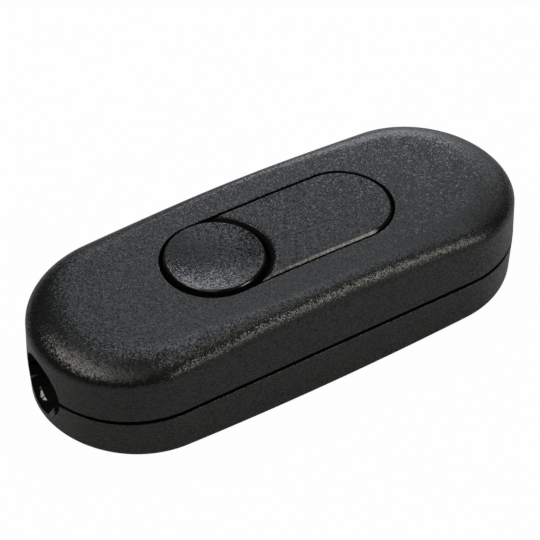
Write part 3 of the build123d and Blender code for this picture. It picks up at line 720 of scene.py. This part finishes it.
# Black ABS moulded against a spark-eroded tool: near-black body, and a fine pebbled skin that scatters the light
# into bright and dark specks. The real grain is about 0.1 mm; it is drawn at 0.2 mm so that it shows.
textured_abs = eroded("black_abs_spark_eroded", "#0e100f", "#141716", 0.2, 0.22, 0.42, (0.26, 0.33))
# The same ABS against a tool sparked harder: the plate glitters more than the housing.
glitter_abs = eroded("black_abs_hard_eroded", "#0c0e0d", "#161918", 0.2, 0.22, 0.75, (0.25, 0.32))
# The same ABS under the finger, dulled by handling: the dish keeps its glitter but mirrors less than the plate.
handled_abs = eroded("black_abs_handled", "#0a0c0b", "#131615", 0.2, 0.22, 0.75, (0.22, 0.29), specular=0.4)
# The same ABS where fingers rub the bevels: nearly no grain, so they catch the lamps as clean thin lines.
rubbed_abs = eroded("black_abs_rubbed", "#0e100f", "#141716", 0.3, 0.03, 0.1, (0.14, 0.2))
# The same ABS against a polished part of the tool: the lower lips of the inlets mirror a front lamp as a glint.
smooth_abs = speckled("black_abs_polished", "#060606", "#0a0a0a", 0.4, 0.001, (0.05, 0.09), specular=1.0)
# Painted shade: the same ABS made darker and duller than its moulded skin, put where shade falls: in the gaps, the
# opening's walls and recess, the inlets' bells and bores, the button's side and underside, and the lower part of
# the plate's roll, so these stay black lines and hollows.
painted_shade_abs = speckled("black_abs_painted_shade", "#050505", "#080808", 0.3, 0.01, (0.7, 0.85), specular=0.1)
# Drawn spring wire: bright grey with a slight pull from the die.
spring_steel = speckled("drawn_spring_steel", "#8b8d90", "#b4b6b8", 0.15, 0.002, (0.22, 0.38), metallic=1.0)

# The pieces inside: who wears the finish, its two shades, grain and depth in millimetres, gloss, metal or not
INNER_FINISHES = {
    # Satin green over the faint unevenness of glass cloth
    "solder_resist_on_glass_epoxy": (["circuit_board"], "#14503a", "#1b6247", 0.5, 0.01, (0.32, 0.5), 0.0),
    # Dull black with a soft sheen
    "moulded_black_nylon": (["switch_base"], "#161617", "#1e1e20", 0.2, 0.008, (0.45, 0.6), 0.0),
    # Rolled bright sheet, a little greyer where the press has dragged it
    "pressed_tinned_steel": (["switch_cover"], "#a9aaab", "#c8c9ca", 0.2, 0.003, (0.25, 0.4), 1.0),
    # Waxy black, glossier than the nylon round it
    "moulded_black_acetal": (["switch_plunger"], "#101011", "#18181a", 0.2, 0.004, (0.3, 0.4), 0.0),
    # Soft white metal whose dipped coat is uneven in gloss
    "tin_dipped_copper": (["switch_pins", "chip_leads", "transistor_tabs", "transistor_leads", "diode_leads"],
                          "#b4b5b7", "#cecfd1", 0.22, 0.003, (0.26, 0.46), 1.0),
    # Matt charcoal with the fine sparkle of its glass filler
    "transfer_moulded_epoxy": (["control_chip", "power_transistors", "rectifier_diodes"],
                               "#19191b", "#242428", 0.12, 0.006, (0.55, 0.7), 0.0),
    # Dark grey ceramic, dull and slightly pitted
    "sintered_ferrite": (["choke_core"], "#2b2b2c", "#3a3a3b", 0.15, 0.01, (0.5, 0.75), 0.0),
    # Red-brown glossy turns, uneven where they lie side by side
    "enamelled_copper_wire": (["choke_winding"], "#8a3b1c", "#b3552b", 0.35, 0.03, (0.2, 0.35), 1.0),
    # Mustard box with a plain satin face
    "moulded_polyester": (["film_capacitor"], "#9b8f5c", "#b5a970", 0.25, 0.006, (0.4, 0.55), 0.0),
    # Blue-black shrunk sleeve, smooth and fairly glossy
    "shrunk_plastic_sleeve": (["storage_capacitor"], "#20242e", "#2b303c", 0.3, 0.004, (0.25, 0.38), 0.0),
    # Blue coat with the ripples of a dip
    "dipped_epoxy": (["varistor"], "#27508f", "#3363a8", 0.4, 0.012, (0.3, 0.45), 0.0),
    # Cream tube under a clear glaze
    "glazed_ceramic": (["fuse_tube"], "#d9d6cc", "#e6e3da", 0.3, 0.004, (0.15, 0.3), 0.0),
    # Warm silver, brighter than tin
    "nickel_plated_brass": (["fuse_caps"], "#b9b4a4", "#cfcabb", 0.2, 0.003, (0.2, 0.35), 1.0),
    # Mid grey blocks with a satin moulded skin
    "moulded_grey_polyamide": (["supply_terminal", "lamp_terminal"],
                               "#5d6063", "#6d7074", 0.25, 0.01, (0.45, 0.6), 0.0),
    # Yellow metal with rolling marks
    "rolled_brass": (["terminal_cages"], "#b59a55", "#cbb26c", 0.2, 0.003, (0.22, 0.38), 1.0),
    # Blue-white plating over the marks of the thread roller
    "zinc_plated_steel": (["terminal_screws", "clamp_screws", "housing_screws"],
                          "#a4a8ad", "#c0c4c9", 0.15, 0.004, (0.25, 0.42), 1.0),
    # Black bars, as dull as the switch's base
    "moulded_black_polyamide": (["supply_cord_clamp", "lamp_cord_clamp"],
                                "#151516", "#1f1f21", 0.25, 0.01, (0.45, 0.6), 0.0),
}

for name, (wearers, dark, light, grain, depth, rough, metal) in INNER_FINISHES.items():
    finish = speckled(name, dark, light, grain, depth, rough, metallic=metal)
    for wearer in wearers:
        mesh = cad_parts[wearer].data
        mesh.materials.clear()
        mesh.materials.append(finish)

# The last finish of each shell and of the plate, and the second of the button, is the painted shade
make_upper_shell([textured_abs, smooth_abs, painted_shade_abs])
make_lower_shell([textured_abs, smooth_abs, painted_shade_abs])
make_button([handled_abs, painted_shade_abs, rubbed_abs])
make_plate([glitter_abs, rubbed_abs, painted_shade_abs])
make_spring([spring_steel])


# ---------------------------------------------------------------- studio

# How much of the table's look is plain white: as seen or through glass, and as mirrored
SEEN_WHITE, MIRRORED_WHITE = 0.985, 0.1
# Size of its fibres in millimetres, and half its side in metres
FIBRE_MM, TABLE_HALF = 1.1, 4.0


def make_floor():
    """Pale matt table. The camera sees white paper with a trace of shadow, and so does glass. In the photograph
    the black housing mirrors only a dim table, so mirrored rays get little of that white over the lit table."""
    finish, tree = new_finish("matt_pale_table")
    place = add(tree, "ShaderNodeTexCoord").outputs["Object"]
    fibre = add(tree, "ShaderNodeTexNoise", {"Scale": 1 / (FIBRE_MM * MM)}, {"Vector": place}).outputs["Fac"]
    tone = add(tree, "ShaderNodeMix", {"A": colour("#a8a8a8"), "B": colour("#b0b0b0")}, {"Factor": fibre},
               data_type="RGBA")
    matt = add(tree, "ShaderNodeBsdfDiffuse", links={"Color": tone.outputs["Result"]})
    paper = add(tree, "ShaderNodeEmission", {"Strength": 1.0})
    rays = add(tree, "ShaderNodeLightPath").outputs
    seen = add(tree, "ShaderNodeMath", links={0: rays["Is Camera Ray"], 1: rays["Is Transmission Ray"]},
               operation="ADD")
    white = add(tree, "ShaderNodeMath", {1: SEEN_WHITE}, {0: seen.outputs[0]},
                operation="MULTIPLY", use_clamp=True)
    share = add(tree, "ShaderNodeMath", {1: MIRRORED_WHITE}, {0: rays["Is Glossy Ray"], 2: white.outputs[0]},
                operation="MULTIPLY_ADD", use_clamp=True)
    both = add(tree, "ShaderNodeMixShader", links={0: share.outputs[0], 1: matt.outputs[0], 2: paper.outputs[0]})
    add(tree, "ShaderNodeOutputMaterial", links={"Surface": both.outputs[0]})
    mesh = bpy.data.meshes.new("table")
    corners = [(TABLE_HALF * x, TABLE_HALF * y, 0) for x, y in ((-1, -1), (1, -1), (1, 1), (-1, 1))]
    mesh.from_pydata(corners, [], [(0, 1, 2, 3)])
    mesh.materials.append(finish)
    table = bpy.data.objects.new("table", mesh)
    scene.collection.objects.link(table)


def direction(azimuth, elevation):
    """Direction from the object: azimuth 0 is straight in front (-Y), 90 is the +X end."""
    a, e = radians(azimuth), radians(elevation)
    return Vector((sin(a) * cos(e), -cos(a) * cos(e), sin(e)))


# Middle of the housing, in metres
LAMP_AIM = Vector((0, 0, 0.012))


def softbox(name, azimuth, elevation, size, power, tint):
    """Square soft lamp a metre away that looks at the middle of the housing."""
    lamp = bpy.data.lights.new(name, "AREA")
    lamp.size = size
    lamp.energy = power
    lamp.color = colour(tint)[:3]
    made = bpy.data.objects.new(name, lamp)
    out = direction(azimuth, elevation)
    made.location = LAMP_AIM + out
    made.rotation_euler = out.to_track_quat("Z", "Y").to_euler()
    scene.collection.objects.link(made)


# Boxes on the left, strips in front, and a broad cool bank behind that the flat top mirrors.
# Each row: azimuth and elevation in degrees, size in metres, power in watts, tint.
WARM, COOL = "#fffbf2", "#f3f7ff"
LAMPS = {
    "left_back_box": (-126, 52, 0.34, 1.723, WARM),
    "left_box": (-90, 52, 0.38, 1.6, WARM),
    "front_left_high": (-50, 52, 0.6, 0.8, WARM),
    "front_strip": (36, 26, 0.28, 1.587, WARM),
    "front_low": (18, 14, 0.25, 0.692, WARM),
    "front_high": (36, 65, 0.25, 0.562, WARM),
    "right_high": (72, 52, 0.25, 0.377, COOL),
    "right_fill": (105, 28, 0.5, 0.26, WARM),
    "over_right": (108, 65, 0.42, 1.078, COOL),
    "over_back": (156, 65, 0.36, 0.75, COOL),
    "back_high": (162, 52, 0.36, 0.2, COOL),
    "back_middle": (144, 39, 0.36, 0.19, COOL),
    "back_middle_right": (126, 39, 0.36, 0.18, COOL),
    "back_left": (162, 26, 0.4, 0.66, COOL),
    "back_low": (144, 14, 0.34, 1.05, COOL),
    "back_low_right": (126, 14, 0.36, 0.38, COOL),
}
for name, lamp in LAMPS.items():
    softbox(name, *lamp)


ROOM_STRENGTH = 0.02


def make_surround():
    """Dim even room round the table."""
    world = bpy.data.worlds.new("white_room")
    world.use_nodes = True
    tree = world.node_tree
    tree.nodes.clear()
    room = add(tree, "ShaderNodeBackground", {"Color": colour("#ffffff"), "Strength": ROOM_STRENGTH})
    add(tree, "ShaderNodeOutputWorld", links={"Surface": room.outputs[0]})
    scene.world = world


# The photograph's view, in degrees and millimetres
VIEW_AZIMUTH, VIEW_ELEVATION, VIEW_DISTANCE, LENS, SENSOR_W = -31.891, 43.248, 327.924, 131.174, 36.0
VIEW_TARGET = Vector((-1.52, 0.0, 13.029))


def make_camera():
    """From the front left, well above, with a long lens."""
    lens = bpy.data.cameras.new("view")
    lens.sensor_width = SENSOR_W
    lens.lens = LENS
    camera = bpy.data.objects.new("view", lens)
    back = direction(VIEW_AZIMUTH, VIEW_ELEVATION)
    right = back.cross(DOWN).normalized()
    rise = back.cross(right)
    camera.rotation_euler = Matrix((right, rise, back)).transposed().to_euler()
    camera.location = (VIEW_TARGET + VIEW_DISTANCE * back) * MM
    scene.collection.objects.link(camera)
    scene.camera = camera


make_floor()
make_surround()
make_camera()
scene.view_settings.view_transform = "Standard"
